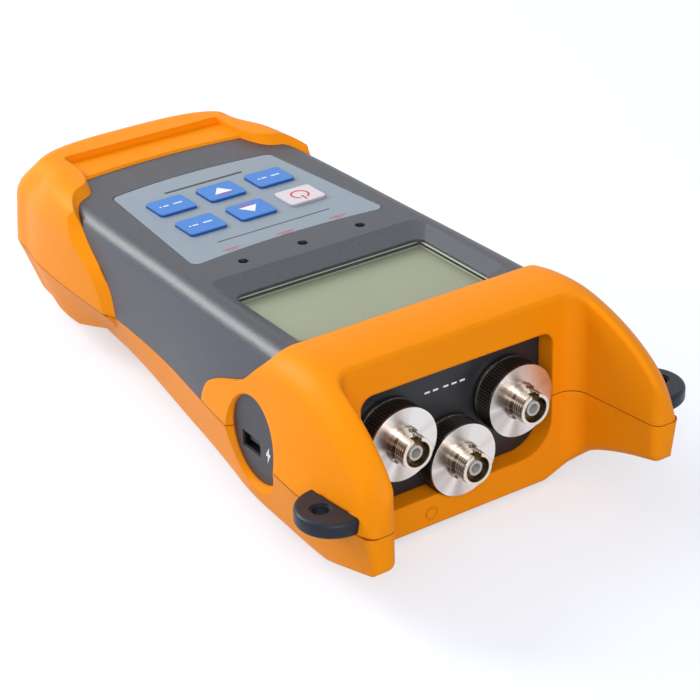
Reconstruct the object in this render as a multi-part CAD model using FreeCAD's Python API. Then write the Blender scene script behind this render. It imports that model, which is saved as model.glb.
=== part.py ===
import FreeCAD, Part
import math
import os

V = FreeCAD.Vector
X_AXIS = V(1, 0, 0)
Y_AXIS = V(0, 1, 0)
Z_AXIS = V(0, 0, 1)

# Optical power meter. Millimetres. +Z is up out of the key face, +Y points out of the
# fibre ports, +X is the side with the charging socket. The origin is under the middle of
# the case, on the surface that the feet rest on.

# ---- Levels, from the table up ----
belly_z = 1.4
knee_z = 8.0
seam_z = 24.4
face_z = 49.0
guard_rise = 2.5
guard_top_z = face_z + guard_rise

# ---- Walls and clearances ----
shell_wall = 2.2
guard_skin = 2.2
slip_gap = 0.1
screw_fit = 0.05
thread_fit = 0.05

# ---- Case: places along it, and the half-width there at each level ----
tail_squareness = 3.0
tail_steps = 4
case_stations = [-82.0, -60.0, -35.0, -12.0, 5.0, 22.0, 40.0, 64.0]
case_seam_half = [34.0, 35.8, 36.2, 37.0, 38.6, 41.0, 43.0, 44.6]
case_face_half = [34.0, 35.6, 36.8, 37.0, 37.0, 37.0, 37.0, 37.0]
case_knee_half = [25.0, 26.5, 28.8, 32.4, 35.2, 37.8, 41.0, 42.0]
case_keel_half = [18.0, 19.0, 20.0, 21.4, 22.8, 24.2, 25.5, 26.0]
case_tail_depth = 13.0
case_face_set_in = 8.0
case_keel_set_in = 8.0
face_edge_round = 4.6
knee_round = 7.0

# ---- Tail guard ----
tail_stations = [-83.5, -74.0, -64.0, -50.0, -28.0]
tail_seam_half = [35.2, 36.9, 37.8, 38.2, 37.8]
tail_waist_half = [34.4, 36.6, 38.0, 38.8, 38.7]
tail_top_half = [31.0, 34.4, 36.4, 37.5, 37.6]
tail_knee_half = [30.0, 31.8, 32.0, 29.6, 25.0]
tail_keel_half = [17.0, 19.0, 19.0, 18.0, 16.0]
tail_waist_rise = 16.6
tail_waist_set_in = 1.5
tail_waist_round = 10.0
tail_top_set_in = 12.0
tail_knee_set_in = 3.5
tail_keel_set_in = 8.0
tail_seam_depth = 16.5
tail_top_depth = 14.5
tail_edge_round = 7.0
tail_bevel = 2.4
tail_bevel_x = 37.0
tail_step_bevel = 0.5
tail_lip_bevel = 1.0
strip_half = 24.6
strip_back_y = -76.0
strip_front_y = -63.2
strip_bow = 1.8
strip_depth = 1.9
strip_z = guard_top_z - strip_depth
strip_corner = 1.5

# ---- Head guard and its two arms ----
head_stations = [16.0, 31.0, 45.0, 61.0, 76.0, 90.0, 104.0]
head_seam_half = [39.7, 42.3, 43.8, 45.6, 46.7, 46.0, 43.6]
head_top_half = [37.4, 38.0, 39.2, 40.2, 40.5, 39.8, 38.4]
head_knee_half = [35.5, 39.0, 42.0, 43.0, 43.6, 43.2, 41.0]
head_keel_half = [22.8, 25.0, 26.0, 26.0, 26.0, 26.0, 25.0]
arm_tip_y = 100.0
arm_root_thick = 12.1
arm_tip_thick = 6.4
arm_root_half = head_seam_half[4] - arm_root_thick
arm_tip_half = head_seam_half[-1] - arm_tip_thick
arm_edge_round = 1.2
tip_round = 2.5
bay_y = 72.8
bay_corner = 5.0
head_edge_round = 8.0
crest_spare = 1.0

# ---- Connector window in the front wall, and the panel behind it ----
window_half = 27.8
window_low_z = 9.4
window_high_z = 42.0
window_high_corner = 3.5
window_low_corner = 9.0
window_wall = 5.4
panel_half = 32.0
panel_low_z = 6.6
panel_high_z = 44.6
panel_thick = 2.0
panel_corner = 3.0
panel_side_room = 4.0

# ---- Recess for the charging socket, on the +X side ----
socket_y = 49.5
socket_z = 25.4
socket_disc_x = 41.0
socket_disc_radius = 11.2
socket_mouth_x = 44.6
socket_mouth_radius = 12.8
socket_plate_thick = 1.6
socket_plate_lip = 1.4
usb_slot_y = 45.9
usb_slot_z = 22.9
usb_slot_width = 7.6
usb_slot_height = 4.2
usb_body_depth = 9.0
usb_shell_wall = 0.4
usb_tongue_thick = 1.0
usb_tongue_width = 5.4
usb_sunk = 0.3
tongue_sunk = 1.0
socket_ring_x = 38.0
socket_ring_wall = 1.4
socket_ring_hole = 9.0
charge_board_tail_x = 14.0
charge_board_y = 36.0
charge_board_length = 13.0
charge_board_thick = 1.6
charge_post_radius = 2.0
charge_posts = [(18.0, 39.0), (18.0, 46.0), (33.0, 39.0)]

# ---- Display ----
recess_half = 31.8
recess_back_y = 12.2
recess_front_y = 52.4
recess_corner = 4.5
recess_overcut = 1.0
glass_half = 28.0
glass_back_y = 18.9
glass_front_y = 49.6
glass_corner = 2.5
glass_depth = 2.2
glass_z = face_z - glass_depth
glass_lip = 0.8
lens_margin = 1.6
lens_thick = 1.2
lcd_margin = 1.0
lcd_thick = 1.8
backlight_thick = 1.3
lcd_frame_wall = 1.2
display_room_half = 32.0
face_pocket_half = 31.0
face_pocket_tail_y = -46.0

# ---- Key label, keys and rubber mat ----
label_far_half = 25.0
label_far_y = -48.2
label_far_bow = 2.2
label_near_half = 29.2
label_near_y = 2.3
label_near_bow = 2.0
label_corner = 2.0
label_thick = 0.35
label_groove = 0.3
key_pitch_x = 15.2
key_rows_y = [-17.6, -32.9]
key_length_x = 10.8
key_length_y = 9.2
key_corner = 1.0
key_rise = 0.8
key_top_z = face_z + key_rise
key_flange = 0.8
key_flange_thick = 1.4
key_flange_gap = 0.3
mat_sheet = 1.2
mat_margin = 2.4
dome_radius = 3.6
dome_top_radius = 2.5
dome_gap = 0.6

# ---- Indicator lights ----
light_pitch = 17.6
light_y = 7.0
light_hole_radius = 1.35
light_sunk = 0.8

# ---- Circuit board under the face ----
board_depth = 8.0
board_top_z = face_z - board_depth
board_thick = 1.6
board_half = 30.4
board_tail_y = -62.0
board_head_y = 52.0
board_corner = 2.0
board_post_radius = 3.0
board_screw_radius = 1.0
board_screw_grip = 4.0
board_screw_head_radius = 1.9
board_screw_head_thick = 1.2
board_posts = [(26.0, -56.0), (27.0, 3.0)]

# ---- Screws that close the case ----
case_screws = [(23.0, -80.0), (33.5, 56.5)]
case_screw_radius = 1.45
case_screw_head_radius = 2.7
case_screw_head_thick = 2.0
case_screw_seat_z = 10.0
case_screw_grip = 9.0
case_post_radius = 3.4
case_socket_wall = 1.4
drive_radius = 1.1
drive_depth = 1.0

# ---- Battery bay ----
battery_half = 14.6
battery_tail_y = -74.0
battery_length = 58.0
battery_thick = 11.0
battery_corner = 2.0
bay_wall = 1.4
bay_gap = 0.4
door_thick = 1.6
door_ledge = 1.4
door_screw_land = 8.0
door_screw_radius = 1.2
door_screw_head_radius = 2.2
door_screw_head_thick = 0.9
door_screw_grip = 5.0
door_boss_radius = 3.0
contact_room = 2.0
contact_thick = 0.4
contact_width = 5.0
contact_x = 7.0
contact_bump_radius = 1.2
contact_bump_gap = 0.3

# ---- Feet ----
foot_length = 9.0
foot_width = 6.0
foot_places = [(31.5, 63.0), (12.0, -82.5)]
foot_root = 6.0
foot_corner = 1.5

# ---- Fibre ports: centres (x, z), and sizes along Y ----
port_centres = [(-17.1, 27.2), (0.0, 17.0), (17.1, 27.2)]
cap_radius = 9.36
cap_front_y = 74.3
cap_length = 6.3
cap_front_thick = 1.8
cap_rim = 0.7
cap_teeth = 72
cap_tooth_depth = 0.3
stub_radius = 5.5
stub_bore = 2.6
stub_reach = 3.6
stub_flange_radius = 7.4
stub_flange_thick = 2.0
barrel_radius = 4.1
barrel_bore = 3.25
barrel_front_y = 79.8
barrel_flange_thick = 1.4
collar_radius = 4.6
collar_reach = 1.3
thread_pitch = 0.75
thread_depth = 0.35
thread_turns = 4
thread_flank = 0.225
thread_lead = 0.375
key_slot_width = 2.2
key_slot_depth = 2.6
sleeve_radius = 1.9
sleeve_bore = 1.25
sleeve_sunk = 0.8
sleeve_seat = 2.6
module_radius = 6.0
module_length = 12.0
port_board_half = 28.0
port_board_thick = 1.6
scallop_gap = 0.5

# ---- Hollow of each arm ----
arm_wall_x = 42.6
arm_inner_wall = 3.4
arm_hollow_back = 2.0
arm_hollow_front = 6.0
arm_floor_drop = 7.8
arm_roof_rise = 8.6

# ---- Strap lugs ----
lug_centre_y = 87.4
lug_root_x = 45.7
lug_reach = 8.7
lug_thick = 3.9
lug_hole_x = 48.9
lug_hole_radius = 2.0
lug_edge_round = 1.0
lug_sink_radius = 2.5
lug_sink = 0.3
lug_neck_half = 5.0
lug_anchor_half = 5.6
lug_anchor_thick = 2.0
lug_anchor_lip = 1.6

# ---- Small moulded ring mark on the front lip ----
mark_x = 8.5
mark_z = 4.6
mark_radius = 1.75
mark_line = 0.35
mark_groove = 0.3
mark_overcut = 0.7

# ---- Reach of the blocks that cut the outer shapes, beyond the case on every side ----
wide = 60.0
far = 150.0
high = 62.0


def spline(points):
    curve = Part.BSplineCurve()
    curve.interpolate([V(*p) for p in points])
    return curve.toShape()


def box(x0, x1, y0, y1, z0, z1):
    return Part.makeBox(x1 - x0, y1 - y0, z1 - z0, V(x0, y0, z0))


def rod(radius, length, start, axis):
    return Part.makeCylinder(radius, length, V(*start), axis)


def rounded(shape, radius, pick):
    return shape.makeFillet(radius, [edge for edge in shape.Edges if pick(edge)])


def runs_along(edge, axis):
    if len(edge.Vertexes) < 2:
        return False
    way = edge.Vertexes[1].Point - edge.Vertexes[0].Point
    return way.Length > 0.1 and abs(way.normalize().dot(axis)) > 0.999


def plate(x0, x1, y0, y1, z0, z1, corner, axis=Z_AXIS):
    return rounded(box(x0, x1, y0, y1, z0, z1), corner, lambda e: runs_along(e, axis))


def polygon_edges(points):
    return [Part.makeLine(V(*a), V(*b)) for a, b in zip(points, points[1:])]


def outline(stations, half_widths, z, tail_depth, set_in=0.0):
    """Closed plan outline at level z: a rounded tail end, two sides and a straight head end."""
    tail_y = stations[0] + set_in
    shrink = (stations[-1] - tail_y) / (stations[-1] - stations[0])
    right = [(x, tail_y + (y - stations[0]) * shrink, z) for x, y in zip(half_widths, stations)]
    corner = []
    for step in range(1, tail_steps):
        turn = math.pi / 2 * step / tail_steps
        across = half_widths[0] * math.cos(turn) ** (2 / tail_squareness)
        back = tail_depth * math.sin(turn) ** (2 / tail_squareness)
        corner.append((across, tail_y - back, z))
    half = corner[::-1] + right
    tail = [(0, tail_y - tail_depth, z)]
    points = [(-x, y, z) for x, y, z in reversed(half)] + tail + half
    head = Part.makeLine(V(*points[-1]), V(*points[0]))
    return Part.Wire([spline(points), head])


def hull(wires):
    return Part.makeLoft(wires, True, True)


def is_level(edge, z):
    bounds = edge.BoundBox
    return abs(bounds.ZMin - z) < 0.01 and abs(bounds.ZMax - z) < 0.01


def thinner(half_widths, inset):
    return [half - inset for half in half_widths]


def is_level_side(edge, z):
    """True for the long curved edge of an outline at level z."""
    return is_level(edge, z) and edge.BoundBox.YLength > 1.0


def case_upper(inset):
    """The grey case above the seam, drawn in by inset."""
    top_z = face_z - inset
    low = outline(case_stations, thinner(case_seam_half, inset), seam_z, case_tail_depth, inset)
    high = outline(case_stations, thinner(case_face_half, inset), top_z, case_tail_depth,
                   inset + case_face_set_in)
    return rounded(hull([low, high]), face_edge_round, lambda e: is_level_side(e, top_z))


def case_lower(inset):
    """The orange case below the seam, drawn in by inset."""
    low_knee = knee_z + inset / 2
    seam = outline(case_stations, thinner(case_seam_half, inset), seam_z, case_tail_depth, inset)
    knee = outline(case_stations, thinner(case_knee_half, inset), low_knee, case_tail_depth,
                   inset + case_keel_set_in / 2)
    keel = outline(case_stations, thinner(case_keel_half, inset), belly_z + inset,
                   case_tail_depth, inset + case_keel_set_in)
    return rounded(hull([keel, knee, seam]), knee_round, lambda e: is_level_side(e, low_knee))


def tail_upper():
    waist_z = seam_z + tail_waist_rise
    seam = outline(tail_stations, tail_seam_half, seam_z, tail_seam_depth)
    waist = outline(tail_stations, tail_waist_half, waist_z, tail_seam_depth, tail_waist_set_in)
    top = outline(tail_stations, tail_top_half, guard_top_z, tail_top_depth, tail_top_set_in)
    block = rounded(hull([seam, waist, top]), tail_waist_round, lambda e: is_level_side(e, waist_z))
    return rounded(block, tail_edge_round, lambda e: is_level_side(e, guard_top_z))


def tail_lower():
    seam = outline(tail_stations, tail_seam_half, seam_z, tail_seam_depth)
    knee = outline(tail_stations, tail_knee_half, knee_z, tail_seam_depth, tail_knee_set_in)
    keel = outline(tail_stations, tail_keel_half, belly_z, tail_seam_depth, tail_keel_set_in)
    block = rounded(hull([keel, knee, seam]), knee_round, lambda e: is_level_side(e, knee_z))
    return block.common(hull([tail_step_profile(x) for x in (-wide, 0.0, wide)]))


def side_prism(edges):
    """Extrudes a closed side-view profile, drawn in the plane x = -wide, across the case."""
    return Part.Face(Part.Wire(edges)).extrude(V(2 * wide, 0, 0))


def plan_prism(edges, height):
    return Part.Face(Part.Wire(edges)).extrude(V(0, 0, height))


def tail_front_profile(x):
    """Side view of all that lies behind the tail guard's front edge, at a distance x across.

    Places are (y, depth under the key face). The edge moves back as x grows, so the guard
    ends in a bevel."""
    shift = (tail_bevel_x - abs(x)) * tail_bevel
    places = [(-31.0, 29.0), (-31.0, 21.0), (-33.6, 14.4), (-39.6, 9.6), (-44.6, 5.0), (-47.4, 0.5),
              (-50.0, -7.0)]
    front = [(x, y + shift, face_z - depth) for y, depth in places]
    low_z, high_z = front[0][2], front[-1][2]
    rest = polygon_edges([front[-1], (x, -far, high_z), (x, -far, low_z), front[0]])
    return Part.Wire([spline(front)] + rest)


def tail_step_profile(x):
    """The front edge of the bulge under the seam, which rounds back to the belly.

    Places are (y, depth under the seam)."""
    shift = (tail_bevel_x - abs(x)) * tail_step_bevel
    places = [(-31.0, -6.0), (-31.0, -0.5), (-32.6, 3.0), (-37.5, 6.4), (-45.0, 9.8), (-58.0, 14.0),
              (-72.0, 20.0), (-80.0, 30.0)]
    front = [(x, y + shift, seam_z - depth) for y, depth in places]
    high_z, low_z = front[0][2], front[-1][2]
    rest = polygon_edges([front[-1], (x, -far, low_z), (x, -far, high_z), front[0]])
    return Part.Wire([spline(front)] + rest)


def tail_lip_profile(z):
    """Plan view of all that lies behind the guard's edge on the key face, at level z."""
    shift = (face_z - z) * tail_lip_bevel
    lobe = [(wide, -20.0), (46.0, -32.0), (39.5, -41.2), (36.4, -47.2), (33.8, -50.5), (31.0, -52.0),
            (28.4, -53.6), (26.2, -57.4)]
    left = [(-x, y + shift, z) for x, y in lobe] + [(-strip_half, strip_front_y + shift, z)]
    right = [(-x, y, z) for x, y, z in reversed(left)]
    middle = Part.Arc(V(*left[-1]), V(0, strip_front_y - strip_bow + shift, z), V(*right[0]))
    rest = polygon_edges([right[-1], (wide, -far, z), (-wide, -far, z), left[0]])
    return Part.Wire([spline(left), middle.toShape(), spline(right)] + rest)


def tail_region():
    side = hull([tail_front_profile(x) for x in (-wide, 0.0, wide)])
    return side.common(hull([tail_lip_profile(z) for z in (belly_z, high)]))


def head_region():
    """Everything on the head side of the guard's back edge, as seen from the side.

    Places are (y, depth under the key face)."""
    places = [(23.0, 29.0), (23.0, 23.5), (25.2, 19.0), (29.5, 16.0), (36.0, 13.4), (43.0, 10.4),
              (49.5, 5.0), (54.0, 0.4), (55.0, -7.0)]
    back = [(-wide, y, face_z - depth) for y, depth in places]
    low_z, high_z = back[0][2], back[-1][2]
    rest = polygon_edges([back[-1], (-wide, far, high_z), (-wide, far, low_z), back[0]])
    return side_prism([spline(back)] + rest)


def head_wire(half_widths, z):
    right = [(x, y, z) for x, y in zip(half_widths, head_stations)]
    left = [(-x, y, z) for x, y, z in reversed(right)]
    tail = Part.makeLine(V(*left[-1]), V(*right[0]))
    head = Part.makeLine(V(*right[-1]), V(*left[0]))
    return Part.Wire([spline(right), head, spline(left), tail])


def head_top_region():
    """Everything under the crest line of the lintel and the arms.

    Places are (y, drop under the top of the guard)."""
    places = [(10.0, 4.9), (34.0, 3.9), (52.0, 1.5), (59.0, 0.3), (65.0, 0.0), (71.0, 0.5),
              (77.0, 2.1), (85.0, 5.3), (91.0, 8.7), (96.0, 12.6), (99.4, 16.8), (101.6, 23.0),
              (103.0, 33.0)]
    crest = [(-wide, y, guard_top_z - drop) for y, drop in places]
    low_z = crest[-1][2]
    rest = polygon_edges([crest[-1], (-wide, crest[0][1], low_z), crest[0]])
    return side_prism([spline(crest)] + rest)


def arm_under_region():
    """Everything above the sweep of the arms' lower edges.

    Places are (y, depth under the seam)."""
    places = [(bay_y, 20.4), (76.0, 17.2), (81.5, 14.6), (89.0, 12.3), (110.0, 7.6)]
    sweep = [(-wide, y, seam_z - depth) for y, depth in places]
    end_y = sweep[-1][1]
    rest = polygon_edges([sweep[-1], (-wide, end_y, high), (-wide, -far, high), (-wide, -far, -far),
                          (-wide, bay_y, -far), sweep[0]])
    return side_prism([spline(sweep)] + rest)


def bay():
    """The space between the arms, in front of the connector window."""
    slope = (arm_tip_half - arm_root_half) / (arm_tip_y - bay_y)
    end_half = arm_root_half + slope * (far - bay_y)
    corners = [(-arm_root_half, bay_y), (arm_root_half, bay_y), (end_half, far), (-end_half, far),
               (-arm_root_half, bay_y)]
    block = plan_prism(polygon_edges([(x, y, -high) for x, y in corners]), 2 * high)
    return rounded(block, bay_corner,
                   lambda e: runs_along(e, Z_AXIS) and e.BoundBox.YMax < bay_y + 0.1)


def beyond_tips():
    return box(-wide, wide, arm_tip_y, far, -high, high)


def is_shoulder(edge):
    """The long outer edge along the top of each side."""
    bounds = edge.BoundBox
    return bounds.YLength > 60 and bounds.ZMax > face_z


def is_bay_rim(edge):
    """The top edges around the bay between the arms."""
    bounds = edge.BoundBox
    inner = max(abs(bounds.XMin), abs(bounds.XMax)) < arm_tip_half + 0.1
    return inner and bounds.YMin > bay_y - 0.1 and bounds.ZMin > seam_z + 10


def is_tip_edge(edge):
    """The edges round the end face of each arm, apart from those in the seam."""
    bounds = edge.BoundBox
    at_seam = bounds.ZLength < 0.01 and abs(bounds.ZMin - seam_z) < 0.01
    return bounds.YMin > arm_tip_y - 0.01 and not at_seam


def is_arm_keel(edge):
    """The long lower edge of each arm, on the side of the bay."""
    bounds = edge.BoundBox
    inner = max(abs(bounds.XMin), abs(bounds.XMax)) < arm_tip_half + 0.1
    return inner and bounds.YLength > tip_round and bounds.ZMax < seam_z - tip_round


def head_upper():
    top_z = guard_top_z + crest_spare
    block = hull([head_wire(head_seam_half, seam_z), head_wire(head_top_half, top_z)])
    block = block.common(head_top_region()).cut(beyond_tips())
    block = rounded(block, head_edge_round, is_shoulder).cut(bay())
    block = rounded(block, tip_round, is_tip_edge)
    return rounded(block, arm_edge_round, is_bay_rim)


def head_lower():
    block = hull([head_wire(head_keel_half, belly_z), head_wire(head_knee_half, knee_z),
                  head_wire(head_seam_half, seam_z)])
    block = rounded(block, knee_round, lambda e: is_level_side(e, knee_z))
    block = block.common(arm_under_region()).cut([bay(), beyond_tips()])
    return rounded(block, tip_round, lambda e: is_tip_edge(e) or is_arm_keel(e))


def rounded_outline(half, y0, y1, z, corner):
    block = plate(-half, half, y0, y1, z, z + 1.0, corner)
    face = min(block.Faces, key=lambda f: f.CenterOfMass.z)
    return face.OuterWire


def mirrored(shape):
    return shape.mirror(V(0, 0, 0), X_AXIS)


def both_sides(places):
    return [(side * x, y) for x, y in places for side in (-1, 1)]


# ---------------------------------------------------------------- sockets shared by pieces
def display_recess():
    """Sloped sides from the face down to the glass, then the opening over the glass."""
    grow = recess_overcut / glass_depth
    top = rounded_outline(recess_half + (recess_half - glass_half) * grow,
                          recess_back_y - (glass_back_y - recess_back_y) * grow,
                          recess_front_y + (recess_front_y - glass_front_y) * grow,
                          face_z + recess_overcut, recess_corner)
    low = rounded_outline(glass_half, glass_back_y, glass_front_y, glass_z, glass_corner)
    opening = plate(-glass_half, glass_half, glass_back_y, glass_front_y,
                    board_top_z, glass_z + slip_gap, glass_corner)
    return hull([low, top]).fuse(opening)


def lens_pocket(gap):
    margin = lens_margin + gap
    return plate(-glass_half - margin, glass_half + margin, glass_back_y - margin,
                 glass_front_y + margin, board_top_z - margin, glass_z - glass_lip, glass_corner)


def label_outline(shrink, z0, z1):
    """The key label: a trapezium with two bowed ends and rounded corners."""
    far, near = label_far_half - shrink, label_near_half - shrink
    far_y, near_y = label_far_y + shrink, label_near_y - shrink
    left_far, left_near = V(-far, far_y, z0), V(-near, near_y, z0)
    right_far, right_near = V(far, far_y, z0), V(near, near_y, z0)
    edges = [Part.makeLine(left_near, left_far),
             Part.Arc(left_far, V(0, far_y - label_far_bow, z0), right_far).toShape(),
             Part.makeLine(right_far, right_near),
             Part.Arc(right_near, V(0, near_y - label_near_bow, z0), left_near).toShape()]
    return rounded(plan_prism(edges, z1 - z0), label_corner, lambda e: runs_along(e, Z_AXIS))


def key_places():
    return [(column * key_pitch_x, row) for row in key_rows_y for column in (-1, 0, 1)]


def key_block(x, y, grow, z0, z1):
    half_x, half_y = key_length_x / 2 + grow, key_length_y / 2 + grow
    return plate(x - half_x, x + half_x, y - half_y, y + half_y, z0, z1, key_corner)


def light_places():
    return [(-light_pitch, light_y), (0.0, light_y), (light_pitch, light_y)]


def socket_mouth():
    """Round recess in the side, flaring out from the socket disc, with a pocket behind."""
    length = socket_mouth_x - socket_disc_x
    slope = (socket_mouth_radius - socket_disc_radius) / length
    reach = 2 * length
    flare = Part.makeCone(socket_disc_radius, socket_disc_radius + slope * reach, reach,
                          V(socket_disc_x, socket_y, socket_z), X_AXIS)
    return flare.fuse(socket_plate_pocket(slip_gap))


def socket_plate_pocket(gap):
    radius = socket_disc_radius + socket_plate_lip + gap
    depth = socket_plate_thick + gap
    return rod(radius, depth, (socket_disc_x - depth, socket_y, socket_z), X_AXIS)


def port_scallop():
    """Relief round the middle port's cap in the lower lip of the window."""
    x, z = port_centres[1]
    return rod(cap_radius + scallop_gap, arm_tip_y - bay_y, (x, bay_y - window_wall, z), Y_AXIS)


def window():
    """Opening in the front wall, with large lower corners."""
    block = box(-window_half, window_half, bay_y - window_wall - slip_gap, arm_tip_y, window_low_z,
                window_high_z)
    block = rounded(block, window_low_corner,
                    lambda e: runs_along(e, Y_AXIS) and e.BoundBox.ZMax < seam_z)
    return rounded(block, window_high_corner,
                   lambda e: runs_along(e, Y_AXIS) and e.BoundBox.ZMin > seam_z)


def panel_room():
    """Room behind the front wall for the panel and the ports."""
    half = panel_half + panel_side_room
    return box(-half, half, case_stations[-1] - slip_gap, bay_y - window_wall,
               panel_low_z - slip_gap, face_z - guard_skin)


def lug_neck(gap):
    """The flat neck that carries a strap lug through the wall of the +X arm."""
    return box(arm_wall_x, lug_root_x + 2.0, lug_centre_y - lug_neck_half - gap,
               lug_centre_y + lug_neck_half + gap, seam_z, seam_z + lug_thick + gap)


def arm_hollow():
    """Hollow in the +X arm, behind a wall all round."""
    return box(arm_root_half + arm_inner_wall, arm_wall_x, bay_y + arm_hollow_back,
               arm_tip_y - arm_hollow_front, seam_z - arm_floor_drop, seam_z + arm_roof_rise)


def socket_ring():
    """Ring inside the +X wall that holds the socket disc from behind."""
    radius = socket_disc_radius + socket_plate_lip + slip_gap + socket_ring_wall
    thick = socket_disc_x + usb_shell_wall - socket_ring_x
    centre = (socket_ring_x, socket_y, socket_z)
    return rod(radius, thick, centre, X_AXIS).cut(rod(socket_ring_hole, thick, centre, X_AXIS))


def usb_block(gap, x0, x1):
    half_y, half_z = usb_slot_width / 2 + gap, usb_slot_height / 2 + gap
    return box(x0, x1, usb_slot_y - half_y, usb_slot_y + half_y, usb_slot_z - half_z,
               usb_slot_z + half_z)


def usb_room():
    back_x = socket_disc_x - socket_plate_thick - usb_body_depth
    return usb_block(key_flange_gap, back_x, socket_disc_x)


def display_block(margin, z0, z1):
    """A plate under the display opening, larger than the opening by margin."""
    return box(-glass_half - margin, glass_half + margin, glass_back_y - margin,
               glass_front_y + margin, z0, z1)


def lens_seat_z():
    """Underside of the display window."""
    return glass_z - glass_lip - lens_thick


def display_room():
    """Room under the display window for the frame that carries it."""
    return box(-display_room_half, display_room_half, recess_back_y - shell_wall,
               recess_front_y + shell_wall, board_top_z, lens_seat_z() - slip_gap)


def battery_room(grow):
    y0 = battery_tail_y - bay_gap - grow
    y1 = battery_tail_y + battery_length + contact_room + grow
    half = battery_half + bay_gap + grow
    top = belly_z + door_thick + battery_thick + bay_gap + grow
    return box(-half, half, y0, y1, belly_z, top)


def door_block(gap, z0, z1):
    half = battery_half + bay_gap + door_ledge + gap
    y0 = battery_tail_y - bay_gap - door_ledge - gap
    y1 = battery_tail_y + battery_length + contact_room + door_screw_land + gap
    return plate(-half, half, y0, y1, z0, z1, battery_corner)


def door_screw_place():
    bay_end_y = battery_tail_y + battery_length + contact_room
    return (0.0, bay_end_y + bay_wall + (door_screw_land - bay_wall) / 2)


# ---------------------------------------------------------------- casings
def front_cover():
    """Grey upper shell: full size where it shows, thinner where the guards lie over it."""
    core = case_upper(guard_skin)
    shown = case_upper(0.0).cut(tail_region()).cut(head_region())
    room = case_upper(guard_skin + shell_wall)
    inner_face_z = face_z - guard_skin
    pocket = box(-face_pocket_half, face_pocket_half, face_pocket_tail_y, recess_back_y,
                 board_top_z, inner_face_z)
    posts = [rod(board_post_radius, inner_face_z - board_top_z, (x, y, board_top_z), Z_AXIS)
             for x, y in both_sides(board_posts)]
    posts += [rod(case_post_radius, inner_face_z - seam_z, (x, y, seam_z), Z_AXIS).common(core)
              for x, y in both_sides(case_screws)]
    cover = core.fuse(shown).cut([room, pocket, display_room()]).fuse(posts)
    keys = [key_block(x, y, slip_gap, board_top_z, face_z + 1.0) for x, y in key_places()]
    lights = [rod(light_hole_radius, face_z - board_top_z + 1.0, (x, y, board_top_z), Z_AXIS)
              for x, y in light_places()]
    holes = [rod(board_screw_radius + screw_fit, board_screw_grip, (x, y, board_top_z), Z_AXIS)
             for x, y in both_sides(board_posts)]
    holes += [rod(case_screw_radius + screw_fit, case_screw_grip, (x, y, seam_z), Z_AXIS)
              for x, y in both_sides(case_screws)]
    sockets = [display_recess(), lens_pocket(slip_gap), socket_mouth(), usb_room(),
               label_outline(0.0, face_z - label_thick, face_z + 1.0)]
    return cover.cut(sockets + keys + lights + holes)


def tail_guard():
    """Orange guard over the tail end of the grey cover, with a rim and a sunk strip."""
    block = tail_upper().common(tail_region())
    strip = plate(-strip_half, strip_half, strip_back_y, label_far_y, strip_z, high, strip_corner)
    return block.cut(strip).cut(case_upper(guard_skin))


def head_guard():
    """Orange upper guard: lintel, front wall with the window's upper part, and both arms."""
    block = head_upper().common(head_region())
    hollow = arm_hollow().fuse(lug_neck(slip_gap))
    return block.cut([case_upper(guard_skin), panel_room(), window(), socket_mouth(), hollow,
                      mirrored(hollow)])


def back_cover():
    """Orange lower shell: the tail bulge, the grip, the head and the lower half of the arms."""
    outer = case_lower(0.0).fuse([tail_lower(), head_lower()])
    room = case_lower(shell_wall).fuse(panel_room())
    socket_radius = case_screw_head_radius + slip_gap
    posts, holes = [], []
    for x, y in both_sides(case_screws):
        posts.append(rod(socket_radius + case_socket_wall, case_screw_seat_z + case_socket_wall,
                         (x, y, 0), Z_AXIS))
        posts.append(rod(case_post_radius, seam_z, (x, y, 0), Z_AXIS))
        holes.append(rod(socket_radius, case_screw_seat_z, (x, y, 0), Z_AXIS))
        holes.append(rod(case_screw_radius + slip_gap, seam_z + 1.0, (x, y, 0), Z_AXIS))
    for x, y in charge_posts:
        posts.append(rod(charge_post_radius, charge_board_z(), (x, y, 0), Z_AXIS))
    boss_x, boss_y = door_screw_place()
    boss_z = belly_z + door_thick
    posts.append(rod(door_boss_radius, door_screw_grip + shell_wall, (boss_x, boss_y, boss_z),
                     Z_AXIS))
    posts.append(battery_room(bay_wall))
    posts.append(socket_ring().common(box(0, wide, 0, arm_tip_y, 0, seam_z)))
    feet = [foot(x, y) for x, y in both_sides(foot_places)]
    inside = Part.makeCompound(posts).common(outer)
    shell = outer.cut(room).fuse([inside] + feet)
    hollow = arm_hollow()
    holes += [battery_room(0.0), door_block(slip_gap, 0.0, boss_z),
              rod(door_screw_radius + screw_fit, door_screw_grip, (boss_x, boss_y, boss_z), Z_AXIS)]
    mark_place = (mark_x, bay_y - mark_groove, mark_z)
    mark = rod(mark_radius, mark_groove + mark_overcut, mark_place, Y_AXIS)
    mark = mark.cut(rod(mark_radius - mark_line, mark_groove + mark_overcut, mark_place, Y_AXIS))
    return shell.cut(holes + [window(), port_scallop(), socket_mouth(), usb_room(), hollow,
                              mirrored(hollow), mark])


def foot(x, y):
    half_x, half_y = foot_width / 2, foot_length / 2
    return plate(x - half_x, x + half_x, y - half_y, y + half_y, 0, foot_root, foot_corner)


# ---------------------------------------------------------------- keypad and lights
def keypad_label():
    label = label_outline(label_groove, face_z - label_thick, face_z)
    return label.cut([key_block(x, y, slip_gap, board_top_z, face_z + 1.0)
                      for x, y in key_places()])


def key(x, y):
    """A key cap with a flange under the face that keeps it in."""
    top = face_z - guard_skin - key_flange_gap
    flange = key_block(x, y, key_flange, top - key_flange_thick, top)
    return key_block(x, y, 0.0, top - key_flange_thick, key_top_z).fuse(flange)


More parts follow.
